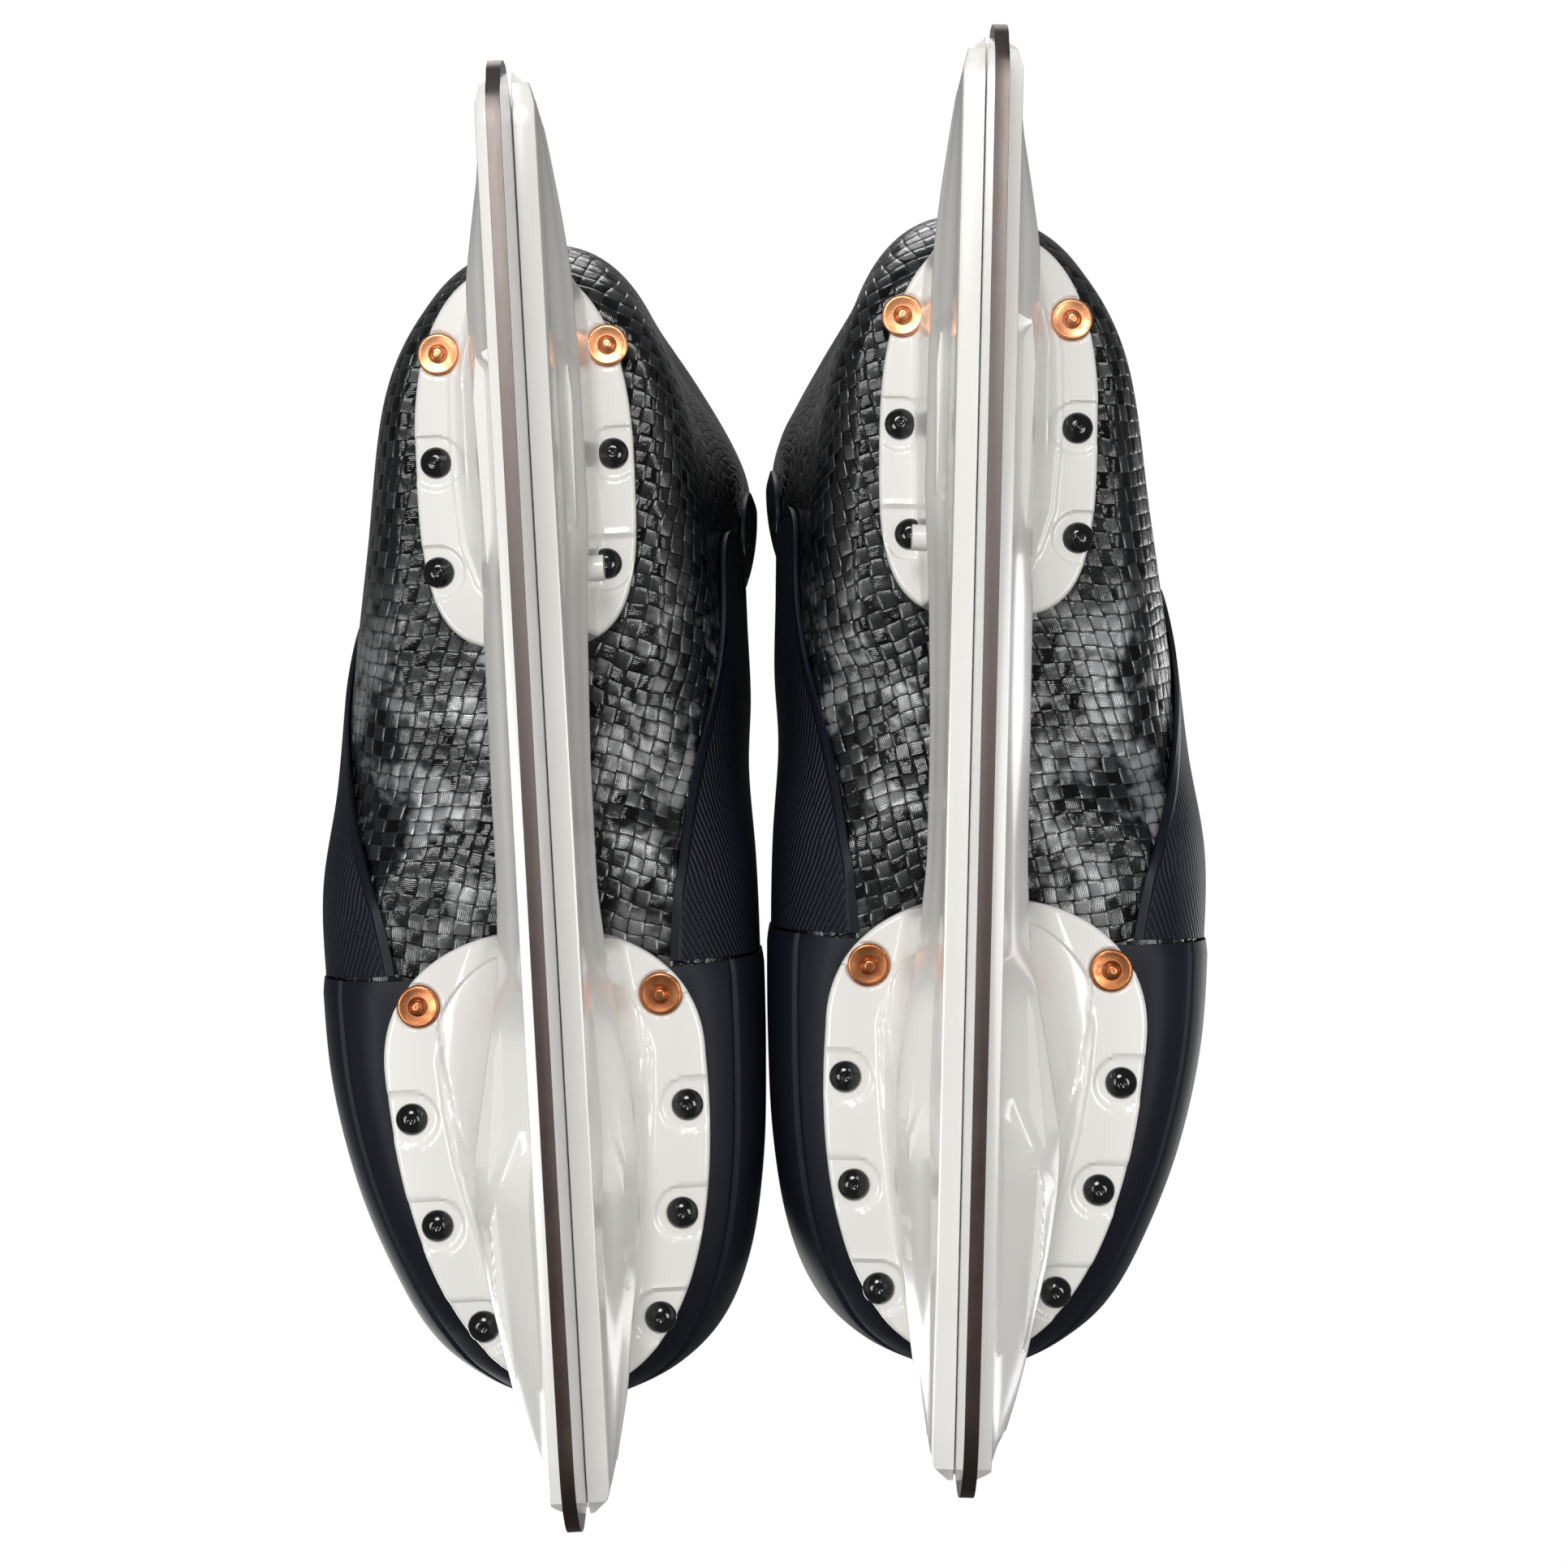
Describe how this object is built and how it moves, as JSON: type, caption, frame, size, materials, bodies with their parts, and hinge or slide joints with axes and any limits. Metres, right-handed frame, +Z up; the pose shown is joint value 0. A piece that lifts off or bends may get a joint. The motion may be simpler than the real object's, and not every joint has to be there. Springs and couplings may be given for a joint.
{
  "type": "ice hockey skates",
  "caption": "Pair of ice hockey skates standing on their runners: composite boots on moulded twin-tower holders with removable steel blades.",
  "frame": {"origin": "on the ground, at the middle of the box round the standing pair", "axes": "+Z up, toes toward -Y, left skate at +X"},
  "size_m": [0.2062, 0.303, 0.296],
  "materials": {
    "carbon": "glossy woven carbon composite",
    "toe_cap": "smooth matte moulding, navy black",
    "side_panel": "fine ribbed matte, navy black",
    "facing": "matte",
    "liner": "brushed knit",
    "insole": "pressed foam with knit top",
    "felt": "thick felt",
    "guard": "matte moulding",
    "holder": "glossy moulded, warm white",
    "steel": "ground and polished",
    "trigger": "moulded",
    "hardware": "plain",
    "copper": "copper, peened",
    "black_rivet": "gloss black"
  },
  "bodies": {
    "root": {"left_shell": "carbon", "left_toe_cap": "toe_cap", "left_lateral_side_panel": "side_panel", "left_medial_side_panel": "side_panel", "left_lateral_eyelet_facing": "facing", "left_medial_eyelet_facing": "facing", "left_liner": "liner", "left_insole": "insole", "left_holder": "holder", "left_trigger_pin": "hardware", "left_trigger_spring": "hardware", "left_copper_rivet_heel_lateral": "copper", "left_copper_rivet_heel_medial": "copper", "left_copper_rivet_toe_lateral": "copper", "left_copper_rivet_toe_medial": "copper", "left_black_rivet_heel_lateral_1": "black_rivet", "left_black_rivet_heel_medial_1": "black_rivet", "left_black_rivet_heel_lateral_2": "black_rivet", "left_black_rivet_heel_medial_2": "black_rivet", "left_black_rivet_toe_lateral_1": "black_rivet", "left_black_rivet_toe_medial_1": "black_rivet", "left_black_rivet_toe_lateral_2": "black_rivet", "left_black_rivet_toe_medial_2": "black_rivet", "left_black_rivet_toe_lateral_3": "black_rivet", "left_black_rivet_toe_medial_3": "black_rivet", "right_shell": "carbon", "right_toe_cap": "toe_cap", "right_lateral_side_panel": "side_panel", "right_medial_side_panel": "side_panel", "right_lateral_eyelet_facing": "facing", "right_medial_eyelet_facing": "facing", "right_liner": "liner", "right_insole": "insole", "right_holder": "holder", "right_trigger_pin": "hardware", "right_trigger_spring": "hardware", "right_copper_rivet_heel_lateral": "copper", "right_copper_rivet_heel_medial": "copper", "right_copper_rivet_toe_lateral": "copper", "right_copper_rivet_toe_medial": "copper", "right_black_rivet_heel_lateral_1": "black_rivet", "right_black_rivet_heel_medial_1": "black_rivet", "right_black_rivet_heel_lateral_2": "black_rivet", "right_black_rivet_heel_medial_2": "black_rivet", "right_black_rivet_toe_lateral_1": "black_rivet", "right_black_rivet_toe_medial_1": "black_rivet", "right_black_rivet_toe_lateral_2": "black_rivet", "right_black_rivet_toe_medial_2": "black_rivet", "right_black_rivet_toe_lateral_3": "black_rivet", "right_black_rivet_toe_medial_3": "black_rivet"},
    "left_runner": {"left_runner": "steel"},
    "left_release_trigger": {"left_release_trigger": "trigger"},
    "left_tongue": {"left_tongue": "felt"},
    "left_tendon_guard": {"left_tendon_guard": "guard"},
    "right_runner": {"right_runner": "steel"},
    "right_release_trigger": {"right_release_trigger": "trigger"},
    "right_tongue": {"right_tongue": "felt"},
    "right_tendon_guard": {"right_tendon_guard": "guard"}
  },
  "joints": [
    {"name": "left_runner_release", "type": "hinge", "parent": "root", "child": "left_runner", "pos_m": [0.0395, -0.13945, 0.0305], "axis": [-0.9993, 0.0384, 0], "range_deg": [0, 2.5]},
    {"name": "left_trigger_pull", "type": "hinge", "parent": "root", "child": "left_release_trigger", "pos_m": [0.04662, 0.04591, 0.0565], "axis": [-0.9993, 0.0384, 0], "range_deg": [0, 18], "stiffness_Nm_per_rad": 0.02},
    {"name": "left_tongue_fold", "type": "hinge", "parent": "root", "child": "left_tongue", "pos_m": [0.04762, -0.0582, 0.121], "axis": [0.9993, -0.0384, 0], "range_deg": [0, 25]},
    {"name": "left_tendon_guard_flex", "type": "hinge", "parent": "root", "child": "left_tendon_guard", "pos_m": [0.05001, 0.11584, 0.2396], "axis": [-0.9993, 0.0384, 0], "range_deg": [0, 12], "stiffness_Nm_per_rad": 1.5},
    {"name": "right_runner_release", "type": "hinge", "parent": "root", "child": "right_runner", "pos_m": [-0.0395, -0.13385, 0.0305], "axis": [-0.9993, -0.0384, 0], "range_deg": [0, 2.5]},
    {"name": "right_trigger_pull", "type": "hinge", "parent": "root", "child": "right_release_trigger", "pos_m": [-0.04662, 0.05151, 0.0565], "axis": [-0.9993, -0.0384, 0], "range_deg": [0, 18], "stiffness_Nm_per_rad": 0.02},
    {"name": "right_tongue_fold", "type": "hinge", "parent": "root", "child": "right_tongue", "pos_m": [-0.04762, -0.0526, 0.121], "axis": [0.9993, 0.0384, 0], "range_deg": [0, 25]},
    {"name": "right_tendon_guard_flex", "type": "hinge", "parent": "root", "child": "right_tendon_guard", "pos_m": [-0.05001, 0.12144, 0.2396], "axis": [-0.9993, -0.0384, 0], "range_deg": [0, 12], "stiffness_Nm_per_rad": 1.5}
  ],
  "couplings": [
    {"joint": "left_trigger_pull", "follows": "left_runner_release", "ratio": 7.2},
    {"joint": "right_trigger_pull", "follows": "right_runner_release", "ratio": 7.2}
  ]
}
